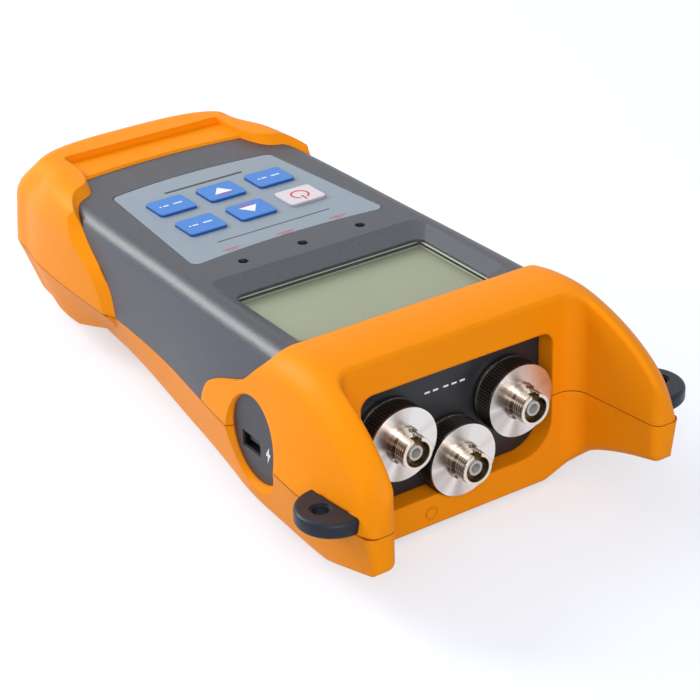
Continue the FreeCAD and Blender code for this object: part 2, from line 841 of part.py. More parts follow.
def key_mat():
    """Rubber sheet on the board with a dome under each key."""
    reach_x = key_pitch_x + key_length_x / 2 + key_flange
    reach_y = key_length_y / 2 + key_flange
    sheet = box(-reach_x - mat_margin, reach_x + mat_margin, key_rows_y[1] - reach_y - mat_margin,
                key_rows_y[0] + reach_y + mat_margin, board_top_z, board_top_z + mat_sheet)
    dome_top = face_z - guard_skin - key_flange_gap - key_flange_thick - dome_gap
    domes = [Part.makeCone(dome_radius, dome_top_radius, dome_top - board_top_z,
                           V(x, y, board_top_z), Z_AXIS) for x, y in key_places()]
    return sheet.fuse(domes)


def indicator(x, y):
    top = face_z - light_sunk
    return rod(light_hole_radius - screw_fit, top - board_top_z, (x, y, board_top_z), Z_AXIS)


# ---------------------------------------------------------------- display
def lcd_window():
    slab = display_block(2 * lens_margin, lens_seat_z(), glass_z - glass_lip)
    return lens_pocket(0.0).common(slab)


def lcd_backlight():
    return display_block(lcd_margin, board_top_z, board_top_z + backlight_thick)


def lcd_panel():
    low = board_top_z + backlight_thick + slip_gap
    return display_block(lcd_margin, low, low + lcd_thick)


def lcd_frame():
    """Frame on the board round the backlight and the display, up to the window."""
    top = lens_seat_z() - slip_gap
    inner = lcd_margin + slip_gap
    return display_block(inner + lcd_frame_wall, board_top_z, top).cut(
        display_block(inner, board_top_z, top))


# ---------------------------------------------------------------- boards and case screws
def main_board():
    low = board_top_z - board_thick
    board = plate(-board_half, board_half, board_tail_y, board_head_y, low, board_top_z, board_corner)
    return board.cut([rod(board_screw_radius + screw_fit, board_thick, (x, y, low), Z_AXIS)
                      for x, y in both_sides(board_posts)])


def drive_recess(x, y, z, radius=drive_radius):
    """Hexagonal recess for the driver, in the underside of a screw head."""
    corners = [V(x + radius * math.cos(math.radians(60 * i)),
                 y + radius * math.sin(math.radians(60 * i)), z) for i in range(7)]
    return Part.Face(Part.makePolygon(corners)).extrude(V(0, 0, drive_depth))


def screw(x, y, seat_z, head_radius, head_thick, shank_radius, shank_length):
    """A screw driven from below: its head hangs under seat_z and its shank points up."""
    head = rod(head_radius, head_thick, (x, y, seat_z - head_thick), Z_AXIS)
    shank = rod(shank_radius, shank_length, (x, y, seat_z), Z_AXIS)
    recess = drive_recess(x, y, seat_z - head_thick, min(drive_radius, head_radius / 2))
    return head.fuse(shank).cut(recess)


def board_screws():
    seat = board_top_z - board_thick
    length = board_thick + board_screw_grip - screw_fit
    return Part.makeCompound([screw(x, y, seat, board_screw_head_radius, board_screw_head_thick,
                                    board_screw_radius, length)
                              for x, y in both_sides(board_posts)])


def case_screw_set():
    length = seam_z + case_screw_grip - case_screw_seat_z - slip_gap
    return Part.makeCompound([screw(x, y, case_screw_seat_z, case_screw_head_radius,
                                    case_screw_head_thick, case_screw_radius, length)
                              for x, y in both_sides(case_screws)])


def charge_board_z():
    return usb_slot_z - usb_slot_height / 2 - charge_board_thick


def charge_board():
    low = charge_board_z()
    return box(charge_board_tail_x, socket_ring_x - slip_gap, charge_board_y,
               charge_board_y + charge_board_length, low, low + charge_board_thick)


# ---------------------------------------------------------------- battery
def battery_pack():
    low = belly_z + door_thick
    return plate(-battery_half, battery_half, battery_tail_y, battery_tail_y + battery_length, low,
                 low + battery_thick, battery_corner)


def battery_door():
    x, y = door_screw_place()
    head = rod(door_screw_head_radius + slip_gap, door_screw_head_thick, (x, y, belly_z), Z_AXIS)
    hole = rod(door_screw_radius + slip_gap, door_thick, (x, y, belly_z), Z_AXIS)
    return door_block(0.0, belly_z, belly_z + door_thick).cut([head, hole])


def battery_door_screw():
    x, y = door_screw_place()
    seat = belly_z + door_screw_head_thick
    length = door_thick - door_screw_head_thick + door_screw_grip - slip_gap
    return screw(x, y, seat, door_screw_head_radius, door_screw_head_thick, door_screw_radius,
                 length)


def battery_contacts():
    """Two leaves on the end wall of the bay, each with a bump towards the battery."""
    wall_y = battery_tail_y + battery_length + contact_room
    low = belly_z + door_thick + bay_gap
    bump = contact_room - contact_thick - contact_bump_gap
    leaves = []
    for x in (-contact_x, contact_x):
        leaf = box(x - contact_width / 2, x + contact_width / 2, wall_y - contact_thick, wall_y,
                   low, low + battery_thick - 2 * bay_gap)
        middle = (x, wall_y - contact_thick - bump, low + battery_thick / 2)
        leaves.append(leaf.fuse(rod(contact_bump_radius, bump, middle, Y_AXIS)))
    return Part.makeCompound(leaves)


# ---------------------------------------------------------------- fibre ports
def turned(profile, centre):
    """Turns a closed outline of (radius, y) pairs about a port's axis."""
    x, z = centre
    wire = Part.makePolygon([V(x + r, y, z) for r, y in profile + profile[:1]])
    return Part.Face(wire).revolve(V(x, 0, z), Y_AXIS, 360)


def panel_front_y():
    return bay_y - window_wall


def stub_front_y():
    return panel_front_y() + stub_reach


def connector_panel():
    front = panel_front_y()
    back = front - panel_thick
    sheet = plate(-panel_half, panel_half, back, front, panel_low_z, panel_high_z, panel_corner,
                  Y_AXIS)
    return sheet.cut([rod(stub_radius + slip_gap, panel_thick, (x, back, z), Y_AXIS)
                      for x, z in port_centres])


def port_stub(centre):
    """Threaded tube that comes through the panel, with a flange behind it."""
    back = panel_front_y() - panel_thick
    return turned([(stub_bore, back - stub_flange_thick), (stub_flange_radius, back - stub_flange_thick),
                   (stub_flange_radius, back), (stub_radius, back), (stub_radius, stub_front_y()),
                   (stub_bore, stub_front_y())], centre)


def port_module(centre):
    x, z = centre
    front = panel_front_y() - panel_thick - stub_flange_thick
    return rod(module_radius, module_length, (x, front - module_length, z), Y_AXIS)


def port_board():
    front = panel_front_y() - panel_thick - stub_flange_thick - module_length
    return box(-port_board_half, port_board_half, front - port_board_thick, front, knee_z,
               board_top_z - board_thick)


def adapter_cap(centre):
    """Knurled nut over the stub; its front wall keeps the adapter's flange in."""
    x, z = centre
    back = cap_front_y - cap_length
    corners = []
    for step in range(2 * cap_teeth + 1):
        turn = math.pi * step / cap_teeth
        radius = cap_radius - cap_tooth_depth * (step % 2)
        corners.append(V(x + radius * math.cos(turn), back + cap_rim, z + radius * math.sin(turn)))
    knurl = Part.Face(Part.makePolygon(corners)).extrude(V(0, cap_length - 2 * cap_rim, 0))
    rims = [rod(cap_radius, cap_rim, (x, y, z), Y_AXIS) for y in (back, cap_front_y - cap_rim)]
    bore = rod(stub_radius + thread_fit, cap_length - cap_front_thick, (x, back, z), Y_AXIS)
    hole = rod(collar_radius + thread_fit, cap_length, (x, back, z), Y_AXIS)
    return knurl.fuse(rims).cut([bore, hole])


def adapter_barrel(centre):
    """Adapter: a flange under the nut, a collar, and a threaded barrel with a key slot."""
    back = stub_front_y() + slip_gap
    flange_front = back + barrel_flange_thick - slip_gap
    collar_front = cap_front_y + collar_reach
    outer = [(stub_radius - thread_fit, back), (stub_radius - thread_fit, flange_front),
             (collar_radius, flange_front), (collar_radius, collar_front),
             (barrel_radius, collar_front)]
    thread_start = barrel_front_y - thread_pitch * thread_turns - thread_lead
    for turn in range(thread_turns):
        y = thread_start + turn * thread_pitch
        outer += [(barrel_radius, y), (barrel_radius - thread_depth, y + thread_flank),
                  (barrel_radius, y + 2 * thread_flank)]
    outer.append((barrel_radius, barrel_front_y))
    seat_front = back + sleeve_seat
    inner = [(barrel_bore, barrel_front_y), (barrel_bore, seat_front),
             (sleeve_radius + slip_gap, seat_front), (sleeve_radius + slip_gap, back)]
    x, z = centre
    slot = box(x - key_slot_width / 2, x + key_slot_width / 2, barrel_front_y - key_slot_depth,
               barrel_front_y, z, z + collar_radius)
    return turned(outer + inner, centre).cut(slot)


def adapter_sleeve(centre):
    back = stub_front_y() + slip_gap
    front = barrel_front_y - sleeve_sunk
    return turned([(sleeve_bore, back), (sleeve_radius, back), (sleeve_radius, front),
                   (sleeve_bore, front)], centre)


# ---------------------------------------------------------------- charging socket
def usb_plate():
    depth = socket_plate_thick
    disc = rod(socket_disc_radius + socket_plate_lip, depth,
               (socket_disc_x - depth, socket_y, socket_z), X_AXIS)
    return disc.cut(usb_block(slip_gap, socket_disc_x - depth, socket_disc_x))


def usb_socket():
    """Metal shell of the socket, open to the front."""
    front = socket_disc_x - usb_sunk
    back = socket_disc_x - socket_plate_thick - usb_body_depth + key_flange_gap
    shell = usb_block(0.0, back, front)
    return shell.cut(usb_block(-usb_shell_wall, back + usb_shell_wall, front))


def usb_tongue():
    front = socket_disc_x - usb_sunk - tongue_sunk
    back = socket_disc_x - socket_plate_thick - usb_body_depth + key_flange_gap + usb_shell_wall
    half_y, half_z = usb_tongue_width / 2, usb_tongue_thick / 2
    return box(back, front, usb_slot_y - half_y, usb_slot_y + half_y, usb_slot_z - half_z,
               usb_slot_z + half_z)


# ---------------------------------------------------------------- strap lugs
def strap_lug():
    """Rounded tab outside the +X arm, with a neck through its wall and an anchor inside."""
    tab = rod(lug_reach, lug_thick, (lug_root_x, lug_centre_y, seam_z), Z_AXIS)
    tab = rounded(tab, lug_edge_round, lambda e: e.BoundBox.ZLength < 0.01)
    tab = tab.cut(head_upper())
    tab = max(tab.Solids, key=lambda solid: solid.Volume)
    anchor = box(arm_wall_x - lug_anchor_thick, arm_wall_x, lug_centre_y - lug_anchor_half,
                 lug_centre_y + lug_anchor_half, seam_z - lug_anchor_lip,
                 seam_z + lug_thick + lug_anchor_lip)
    hole = rod(lug_hole_radius, lug_thick, (lug_hole_x, lug_centre_y, seam_z), Z_AXIS)
    sink = rod(lug_sink_radius, lug_sink,
               (lug_hole_x, lug_centre_y, seam_z + lug_thick - lug_sink), Z_AXIS)
    return tab.fuse([lug_neck(0.0), anchor]).cut([hole, sink])


def pieces():
    """Every sub-part by name."""
    right_lug = strap_lug()
    keys = dict(zip(["power_key", "up_key", "plain_key_1", "plain_key_2", "down_key", "plain_key_3"],
                    key_places()))
    made = {
        "front_cover": front_cover(), "back_cover": back_cover(),
        "tail_guard": tail_guard(), "head_guard": head_guard(),
        "keypad_label": keypad_label(), "key_mat": key_mat(),
        "lcd_window": lcd_window(), "lcd_panel": lcd_panel(),
        "lcd_backlight": lcd_backlight(), "lcd_frame": lcd_frame(),
        "main_board": main_board(), "board_screws": board_screws(),
        "case_screws": case_screw_set(), "charge_board": charge_board(),
        "battery_pack": battery_pack(), "battery_door": battery_door(),
        "battery_door_screw": battery_door_screw(), "battery_contacts": battery_contacts(),
        "connector_panel": connector_panel(), "port_board": port_board(),
        "usb_plate": usb_plate(), "usb_socket": usb_socket(), "usb_tongue": usb_tongue(),
        "strap_lug_right": right_lug, "strap_lug_left": mirrored(right_lug),
    }
    for name, (x, y) in keys.items():
        made[name] = key(x, y)
    for number, (x, y) in enumerate(light_places(), 1):
        made[f"indicator_{number}"] = indicator(x, y)
    for number, centre in enumerate(port_centres, 1):
        made[f"port_stub_{number}"] = port_stub(centre)
        made[f"port_module_{number}"] = port_module(centre)
        made[f"adapter_cap_{number}"] = adapter_cap(centre)
        made[f"adapter_barrel_{number}"] = adapter_barrel(centre)
        made[f"adapter_sleeve_{number}"] = adapter_sleeve(centre)
    return made


os.makedirs("parts", exist_ok=True)
for name, shape in pieces().items():
    shape.exportStep(f"parts/{name}.step")
    print(name, shape.isValid(), len(shape.Solids), round(shape.Volume))
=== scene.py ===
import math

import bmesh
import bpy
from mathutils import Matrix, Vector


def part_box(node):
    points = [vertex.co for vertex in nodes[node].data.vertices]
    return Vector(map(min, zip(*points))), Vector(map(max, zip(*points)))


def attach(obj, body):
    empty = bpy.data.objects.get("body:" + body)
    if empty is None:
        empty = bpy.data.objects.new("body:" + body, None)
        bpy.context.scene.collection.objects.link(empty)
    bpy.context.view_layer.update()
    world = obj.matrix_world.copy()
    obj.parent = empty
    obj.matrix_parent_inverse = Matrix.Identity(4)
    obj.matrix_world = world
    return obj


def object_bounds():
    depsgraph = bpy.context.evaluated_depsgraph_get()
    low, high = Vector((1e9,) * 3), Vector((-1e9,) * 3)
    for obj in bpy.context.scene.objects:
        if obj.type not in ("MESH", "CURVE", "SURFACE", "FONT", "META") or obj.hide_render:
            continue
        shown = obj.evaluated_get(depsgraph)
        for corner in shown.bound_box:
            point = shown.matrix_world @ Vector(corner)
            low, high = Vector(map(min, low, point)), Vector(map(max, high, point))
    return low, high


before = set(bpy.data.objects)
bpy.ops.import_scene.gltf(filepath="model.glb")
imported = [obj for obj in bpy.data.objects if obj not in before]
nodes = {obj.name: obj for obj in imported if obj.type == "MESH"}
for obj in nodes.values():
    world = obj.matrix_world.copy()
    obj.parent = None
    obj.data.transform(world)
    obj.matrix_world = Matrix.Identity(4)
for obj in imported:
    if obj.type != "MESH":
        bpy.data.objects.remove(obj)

# %% [markdown]
# # A hand-held optical power meter
#
# The meter is a grey moulded case with orange guards at both ends, a keypad label, a
# display and three round fibre ports that look out between two arms. The packed model already
# holds every solid at its real size. What this lesson adds is the finish of each surface, the
# printed marks, the light and the camera.
#
# The scene works in metres, and so does the frame, so a size in millimetres is multiplied by
# MM. The boxes are read from the frame first, and every mark below is measured from the piece
# that carries it.

MM = 0.001
cad_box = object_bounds()
print("CAD box in mm", [[round(v / MM, 1) for v in corner] for corner in cad_box])


def low(node):
    return Vector(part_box(node)[0])


def high(node):
    return Vector(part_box(node)[1])


def middle(node):
    return (low(node) + high(node)) / 2


def half_width(node):
    return (high(node).x - low(node).x) / 2


seam_z = high("back_cover").z
face_z = high("keypad_label").z
print("seam", round(seam_z / MM, 2), "key face", round(face_z / MM, 2))

# %% [markdown]
# ## Writing a shader as arithmetic
#
# A procedural finish is a sum of small ideas: a speckle, a darker band, a worn edge. Wiring
# these by hand hides the idea in boxes and lines, so two small classes let the finish be
# written as an expression. A `Signal` is one output socket; adding, multiplying or comparing
# signals adds the Math nodes. A `Wiring` is one node tree; its `node` method makes any other
# node from its type, its settings and its inputs.
#
# Math nodes only carry one number, so colours go through `blend`, which is a Mix node.

# %% One output socket with operators
class Signal:
    def __init__(self, wiring, socket):
        self.wiring = wiring
        self.socket = socket

    def math(self, operation, *values):
        return self.wiring.node("ShaderNodeMath", {"operation": operation},
                                dict(enumerate(values)))

    def __add__(self, other):
        return self.math("ADD", self, other)

    def __radd__(self, other):
        return self.math("ADD", other, self)

    def __sub__(self, other):
        return self.math("SUBTRACT", self, other)

    def __rsub__(self, other):
        return self.math("SUBTRACT", other, self)

    def __mul__(self, other):
        return self.math("MULTIPLY", self, other)

    def __rmul__(self, other):
        return self.math("MULTIPLY", other, self)

    def __truediv__(self, other):
        return self.math("DIVIDE", self, other)

    def __rtruediv__(self, other):
        return self.math("DIVIDE", other, self)

    def __pow__(self, other):
        return self.math("POWER", self, other)

    def __abs__(self):
        return self.math("ABSOLUTE", self)

    def above(self, edge, softness):
        """0 below edge and 1 above it, with a ramp as wide as softness."""
        ramp = (self - (edge - softness / 2)) / softness
        return ramp.math("MINIMUM", ramp.math("MAXIMUM", ramp, 0.0), 1.0)

    def below(self, edge, softness):
        return 1.0 - self.above(edge, softness)


methods = [name for name, value in vars(Signal).items() if callable(value)]
print("a signal's methods:", ", ".join(methods))

# %% One tree of nodes
class Wiring:
    def __init__(self, tree):
        self.tree = tree

    def node(self, kind, settings=None, inputs=None, output=0):
        """Adds a node, sets it up, fills or links its inputs and returns one output."""
        made = self.tree.nodes.new(kind)
        for name, value in (settings or {}).items():
            setattr(made, name, value)
        for name, value in (inputs or {}).items():
            if isinstance(value, Signal):
                self.tree.links.new(value.socket, made.inputs[name])
            else:
                made.inputs[name].default_value = value
        return Signal(self, made.outputs[output]) if made.outputs else None

    def seen_directly(self):
        """1 for a ray from the camera, a mirror or glass, and 0 for light on a surface."""
        rays = [self.node("ShaderNodeLightPath", output=f"Is {kind} Ray")
                for kind in ("Camera", "Glossy", "Transmission")]
        return rays[0].math("MAXIMUM", rays[0].math("MAXIMUM", rays[0], rays[1]), rays[2])


methods = [name for name, value in vars(Wiring).items() if callable(value)]
print("a wiring's methods:", ", ".join(methods))

# %% [markdown]
# A `Finish` is the wiring of one material, and starts from the Principled shader. Numbers that
# are the same all over the surface are set straight on its sockets. Only what changes over the
# surface is linked.
#
# All patterns use the Object coordinate. Every piece of the frame has its origin at the
# frame's origin, so that coordinate is the real place in metres, and a speckle of a quarter of
# a millimetre has the same size on every piece.

# %% Colours
def srgb(red, green, blue):
    """A colour as it is seen on a screen, from 0 to 255, as linear light."""
    def linear(value):
        value /= 255
        return value / 12.92 if value <= 0.04045 else ((value + 0.055) / 1.055) ** 2.4
    return (linear(red), linear(green), linear(blue), 1.0)


def scaled(colour, factor, lift=0.0):
    """The colour made darker or lighter, with no channel over 1."""
    return tuple(min(1.0, factor * channel + lift) for channel in colour[:3]) + (1.0,)


print("middle grey in linear light", [round(v, 3) for v in srgb(128, 128, 128)])

# %% One material
BEVEL_SAMPLES = 4


class Finish(Wiring):
    def __init__(self, name, **constants):
        self.material = bpy.data.materials.new(name)
        self.material.use_nodes = True
        super().__init__(self.material.node_tree)
        self.shader = self.tree.nodes["Principled BSDF"]
        self.coordinates = None
        for socket, value in constants.items():
            self.shader.inputs[socket.replace("_", " ")].default_value = value

    def place(self):
        """The point's place in the frame, in metres."""
        if self.coordinates is None:
            self.coordinates = self.node("ShaderNodeTexCoord", output="Object")
        return self.coordinates

    def axis(self, letter):
        return self.node("ShaderNodeSeparateXYZ", inputs={0: self.place()}, output=letter)

    def noise(self, size, detail=2.0, roughness=0.5):
        """Noise from 0 to 1 whose grains are about as large as size, in metres."""
        return self.node("ShaderNodeTexNoise",
                         inputs={"Vector": self.place(), "Scale": 1 / size,
                                 "Detail": detail, "Roughness": roughness})

    def blend(self, mask, first, second):
        """The first colour where the mask is 0 and the second where it is 1.

        A Mix node has sockets for numbers, vectors and colours side by side, and the ones
        for colours are its inputs 6 and 7 and its output 2."""
        return self.node("ShaderNodeMix", {"data_type": "RGBA", "clamp_factor": True},
                         {0: mask, 6: first, 7: second}, output=2)

    def feed(self, socket, signal):
        self.tree.links.new(signal.socket, self.shader.inputs[socket])

    def raise_surface(self, height, depth, rounding=None):
        """Bump from a signal between 0 and 1, over edges rounded by a Bevel node."""
        inputs = {"Height": height, "Distance": depth, "Strength": 1.0}
        if rounding:
            inputs["Normal"] = self.node("ShaderNodeBevel", {"samples": BEVEL_SAMPLES},
                                         {"Radius": rounding})
        self.feed("Normal", self.node("ShaderNodeBump", inputs=inputs))


methods = [name for name, value in vars(Finish).items() if callable(value)]
print("a finish adds:", ", ".join(methods))

# %% Giving a finish to pieces
given = set()


def wear(finish, *names):
    """Gives a finish to CAD nodes by replacing what is in their material slots."""
    given.add(finish.material.name)
    for name in names:
        mesh = nodes[name].data
        mesh.materials.clear()
        mesh.materials.append(finish.material)


print("nodes that wait for a finish:", len(nodes))

# %% [markdown]
# ## Orange guards and lower shell
#
# The guards are moulded from a tough, slightly waxy plastic. Its colour hardly varies, but a
# perfectly even orange looks like a drawing, so a slow cloud shifts it by a few percent. Under
# a lamp the surface shows a very fine eggshell texture, a third of a millimetre across, that
# spreads the highlight.
#
# The two halves of the case meet in a hairline joint. It could be cut as a groove, but at two
# tenths of a millimetre it is all shade and no shape, so the shader darkens a band at the
# height of the joint.

# %% Orange
JOINT_HALF = 0.11 * MM
JOINT_FADE = 0.10 * MM
ORANGE_PIECES = ["back_cover", "tail_guard", "head_guard", "battery_door"]


def orange_finish():
    finish = Finish("orange_plastic", Specular_IOR_Level=0.10)
    cloud = finish.noise(30 * MM, detail=3.0)
    eggshell = finish.noise(0.35 * MM, detail=1.0)
    body = finish.blend(cloud * 0.6 + eggshell * 0.15, srgb(255, 153, 8), srgb(250, 141, 4))
    joint = abs(finish.axis("Z") - seam_z).below(JOINT_HALF, JOINT_FADE)
    finish.feed("Base Color", finish.blend(joint * 0.8, body, srgb(140, 66, 8)))
    finish.feed("Roughness", cloud * 0.08 + 0.40 + joint * 0.3)
    finish.raise_surface(eggshell, 0.02 * MM, rounding=0.8 * MM)
    return finish


wear(orange_finish(), *ORANGE_PIECES)
print("orange on", len(ORANGE_PIECES), "nodes")

# %% [markdown]
# ## Speckled grey case
#
# The grey shell is spark-eroded: its mould leaves a fine sandy grain that breaks the long
# highlight on the shoulder into sparkle. One noise makes both the grain's relief and a faint
# light and dark speckle, because on a textured surface the peaks catch light and the pits
# stay dark.

# %% Grey
GREY_GRAIN = 0.42 * MM


def grey_finish():
    finish = Finish("speckled_grey", Specular_IOR_Level=0.75)
    grain = finish.noise(GREY_GRAIN, roughness=0.6)
    cloud = finish.noise(22 * MM)
    speckle = grain.above(0.52, 0.25)
    base = finish.blend(cloud * 0.6, srgb(38, 42, 51), srgb(44, 48, 57))
    finish.feed("Base Color", finish.blend(speckle * 0.45, base, srgb(74, 79, 92)))
    finish.feed("Roughness", 0.33 + grain * 0.16)
    finish.raise_surface(grain, 0.05 * MM, rounding=0.3 * MM)
    return finish


wear(grey_finish(), "front_cover")
case_length = cad_box[1][1] - cad_box[0][1]
print("grey grain of", GREY_GRAIN / MM, "mm on a case", round(case_length / MM), "mm long")

# %% [markdown]
# ## Keypad label and keys
#
# The label is a printed film, smoother than the case, so its highlight is cleaner. The keys
# are silicone rubber: soft and saturated. Their upright walls are painted a little darker,
# as painted shade where the rubber turns away from the light.
#
# The painted shade is a mask on height: everything more than a quarter of a millimetre under
# the key's top is wall and gets the darker colour.

# %% Label, keys and rubber
WALL_DROP = 0.25 * MM
WALL_FADE = 0.12 * MM
BLUE_KEYS = ["up_key", "down_key", "plain_key_1", "plain_key_2", "plain_key_3"]


def film_finish():
    finish = Finish("label_film", Specular_IOR_Level=0.35)
    haze = finish.noise(9 * MM, detail=3.0)
    fibre = finish.noise(0.3 * MM)
    colour = finish.blend(haze * 0.7 + fibre * 0.2, srgb(140, 153, 165), srgb(152, 164, 176))
    finish.feed("Base Color", colour)
    finish.feed("Roughness", 0.42 + haze * 0.08)
    finish.raise_surface(fibre, 0.006 * MM)
    return finish


def rubber_finish(name, top, wall_shade, shade_top):
    finish = Finish(name, Specular_IOR_Level=0.4)
    dust = finish.noise(0.5 * MM, detail=3.0)
    # painted shade: under the given height the rubber takes the darker wall colour
    side = finish.axis("Z").below(shade_top, WALL_FADE)
    face = finish.blend(dust * 0.4, top, scaled(top, 0.88))
    finish.feed("Base Color", finish.blend(side, face, wall_shade))
    finish.feed("Roughness", 0.40 + dust * 0.12)
    finish.raise_surface(dust, 0.008 * MM, rounding=0.22 * MM)
    return finish


key_top = high("up_key").z
# the height under which the keys' walls get painted shade
key_shade_top = key_top - WALL_DROP
wear(film_finish(), "keypad_label")
wear(rubber_finish("blue_rubber", srgb(68, 132, 212), srgb(30, 78, 158), key_shade_top), *BLUE_KEYS)
wear(rubber_finish("white_rubber", srgb(226, 218, 224), srgb(176, 172, 178), key_shade_top),
     "power_key")
wear(rubber_finish("clear_grey_rubber", srgb(150, 152, 156), srgb(120, 122, 126), face_z),
     "key_mat")
print("key tops at", round(key_top / MM, 2), "mm")

# %% [markdown]
# ## Printed marks on the keys
#
# All six keys carry marks: two have an arrow and a line, the white one has the usual ring and
# bar of a power button, and the other three have a row of dashes. Text objects or an image
# could print them, but a thin sheet of ink with real thickness stays crisp in any view and
# moves with its key. Each mark is a closed outline, filled and thickened to a few hundredths
# of a millimetre. It starts a hair above its surface, so the two never flicker together.

# %% A helper that lays ink on a surface
INK_BASE = 0.004 * MM
INK_TOP = 0.04 * MM


def ink(name, outlines, origin, across, up, finish, body):
    """Thin solids from outlines in mm, laid on the plane through origin along across and up."""
    normal = across.cross(up).normalized()
    mesh = bpy.data.meshes.new(name)
    shape = bmesh.new()
    for outline in outlines:
        points = [origin + across * (x * MM) + up * (y * MM) for x, y in outline]
        base = [shape.verts.new(p + normal * INK_BASE) for p in points]
        top = [shape.verts.new(p + normal * INK_TOP) for p in points]
        shape.faces.new(top)
        shape.faces.new(base[::-1])
        for i in range(len(points)):
            j = (i + 1) % len(points)
            shape.faces.new([base[i], base[j], top[j], top[i]])
    bmesh.ops.recalc_face_normals(shape, faces=shape.faces)
    bmesh.ops.triangulate(shape, faces=shape.faces)
    shape.to_mesh(mesh)
    shape.free()
    piece = bpy.data.objects.new(name, mesh)
    bpy.context.scene.collection.objects.link(piece)
    mesh.materials.append(finish.material)
    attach(piece, body)


print("ink", round((INK_TOP - INK_BASE) / MM, 3), "mm thick")

# %% Outlines, in millimetres
def bar(x, y, width, height):
    """Outline of an upright rectangle round x and y."""
    return [(x - width / 2, y - height / 2), (x + width / 2, y - height / 2),
            (x + width / 2, y + height / 2), (x - width / 2, y + height / 2)]


def arc_band(radius, width, start, end, steps=24):
    """Outline of a curved band, with angles in degrees."""
    turns = [math.radians(start + (end - start) * i / steps) for i in range(steps + 1)]
    outer = [((radius + width / 2) * math.cos(t), (radius + width / 2) * math.sin(t))
             for t in turns]
    inner = [((radius - width / 2) * math.cos(t), (radius - width / 2) * math.sin(t))
             for t in reversed(turns)]
    return outer + inner


print("points in a quarter ring:", len(arc_band(radius=1, width=0.2, start=0, end=90)))

# %% Three inks
def ink_finish(name, colour):
    finish = Finish(name, Specular_IOR_Level=0.4)
    patch = finish.noise(0.6 * MM)
    pale = scaled(colour, 1.1, lift=0.01)
    finish.feed("Base Color", finish.blend(patch * 0.6, colour, pale))
    finish.feed("Roughness", 0.36 + patch * 0.1)
    return finish


white_ink = ink_finish("white_ink", srgb(240, 242, 246))
red_ink = ink_finish("red_ink", srgb(205, 52, 60))
dark_ink = ink_finish("dark_ink", srgb(38, 40, 46))
print("inks:", [one.material.name for one in (white_ink, red_ink, dark_ink)])

# %% The keys' marks
RIGHT, AHEAD = Vector((1, 0, 0)), Vector((0, 1, 0))
STROKE = 0.55
ARROW = [(-2.7, -1.75), (2.7, -1.75), (0.0, 2.0)]
ARROW_LINE = {"drop": 2.5, "width": 4.6, "height": 0.4}
POWER_RING = arc_band(radius=2.35, width=STROKE, start=-245, end=65)
POWER_BAR = bar(0, 2.2, STROKE, 2.6)
DASHES = [bar(x, 0, width, STROKE) for x, width in ((-2.0, 2.6), (1.6, 1.6), (3.2, STROKE))]


def key_ink(name, outlines, key, finish):
    """Ink on the middle of a key's top, which moves with the key."""
    centre = middle(key)
    top = Vector((centre.x, centre.y, high(key).z))
    ink(name, outlines, top, RIGHT, AHEAD, finish, key + "_body")


for name, key, turn in (("arrow_up", "up_key", 1), ("arrow_down", "down_key", -1)):
    key_ink(name, [[(turn * x, turn * y) for x, y in ARROW]], key, white_ink)
    line = bar(0, -turn * ARROW_LINE["drop"], ARROW_LINE["width"], ARROW_LINE["height"])
    key_ink(name + "_line", [line], key, red_ink)
key_ink("power_mark", [POWER_RING, POWER_BAR], "power_key", red_ink)
for number in (1, 2, 3):
    key_ink(f"bars_{number}", DASHES, f"plain_key_{number}", white_ink)
print("marks on the keys, which are", round(2 * half_width("up_key") / MM, 1), "mm wide")

# %% [markdown]
# ## Marks on the label and the connector panel
#
# Three short red dashes near the label's edge point at the indicator lights. A fine dark rule
# lies between them and the keys, and a shorter bar lies beyond the keys. On the black panel a
# row of white dashes stands over the middle port, and a small white bolt beside the charging
# socket says what it is for.
#
# The panel faces along +Y and is read from outside, so its "across" runs towards -X. The
# socket's disc faces +X, and its "across" runs along +Y.

# %% Ink on the label
LIGHT_DASHES = [bar(0, 0, 5.2, 0.32), bar(0, 0.8, 3.0, 0.2)]
LIGHT_DASH_INSET = 2.9 * MM
LIGHT_DASH_SPREAD = 0.92
RULE = bar(0, 0, 34.0, 0.35)
RULE_TOWARDS_KEYS = 1.2 * MM
FAR_RULE = bar(0, 0, 24.0, 0.9)
FAR_RULE_GAP = 3.6 * MM

label_edge_y = high("keypad_label").y
for number in (1, 2, 3):
    light = middle(f"indicator_{number}")
    spot = Vector((light.x * LIGHT_DASH_SPREAD, label_edge_y - LIGHT_DASH_INSET, face_z))
    ink(f"light_dash_{number}", LIGHT_DASHES, spot, RIGHT, AHEAD, red_ink, "casing")
rule_y = (high("plain_key_1").y + label_edge_y) / 2 - RULE_TOWARDS_KEYS
ink("label_rule", [RULE], Vector((0, rule_y, face_z)), RIGHT, AHEAD, dark_ink, "casing")
far_rule_y = low("down_key").y - FAR_RULE_GAP
ink("label_rule_far", [FAR_RULE], Vector((0, far_rule_y, face_z)), RIGHT, AHEAD, dark_ink,
    "casing")
print("rules on the label at", [round(y / MM, 1) for y in (rule_y, far_rule_y)])

# %% Ink on the panel and the socket's disc
PANEL_DASHES = [bar(x, 0, 1.5, 0.5) for x in (-5.4, -3.0, 0.0, 2.4, 4.8)]
PANEL_DASH_RISE = 7.6 * MM
BOLT = [(-0.9, 0.2), (0.5, 2.3), (0.3, 0.5), (1.0, 0.5),
        (-0.5, -2.3), (-0.2, -0.3), (-0.9, -0.3)]
BOLT_GAP = 3.6 * MM
LEFT, UP = Vector((-1, 0, 0)), Vector((0, 0, 1))

